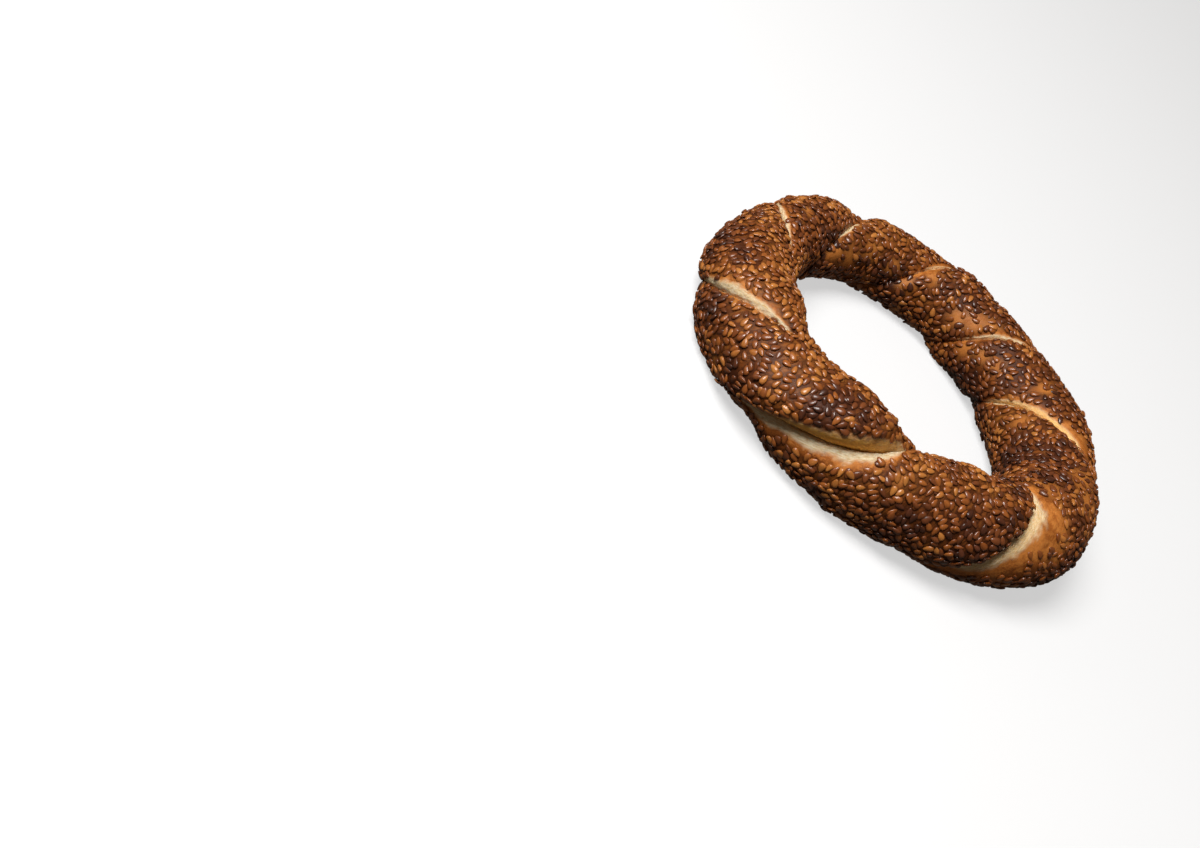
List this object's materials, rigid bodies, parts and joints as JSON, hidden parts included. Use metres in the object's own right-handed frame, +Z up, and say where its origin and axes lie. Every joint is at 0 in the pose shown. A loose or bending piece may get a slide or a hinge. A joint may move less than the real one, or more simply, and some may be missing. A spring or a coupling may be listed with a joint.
{
  "type": "simit",
  "caption": "Ring of bread twisted from dough strands and coated in sesame seeds, lying flat, with pale torn seams between the strands.",
  "frame": {"origin": "centre of the bounding box, on the surface that the ring lies on", "axes": "+Z up through the hole; the camera of the picture stands on the -Y side"},
  "size_m": [0.173, 0.1666, 0.0368],
  "materials": {
    "crust": "browned bread crust coated in toasted sesame seeds"
  },
  "bodies": {
    "root": {"simit": "crust"}
  },
  "joints": []
}
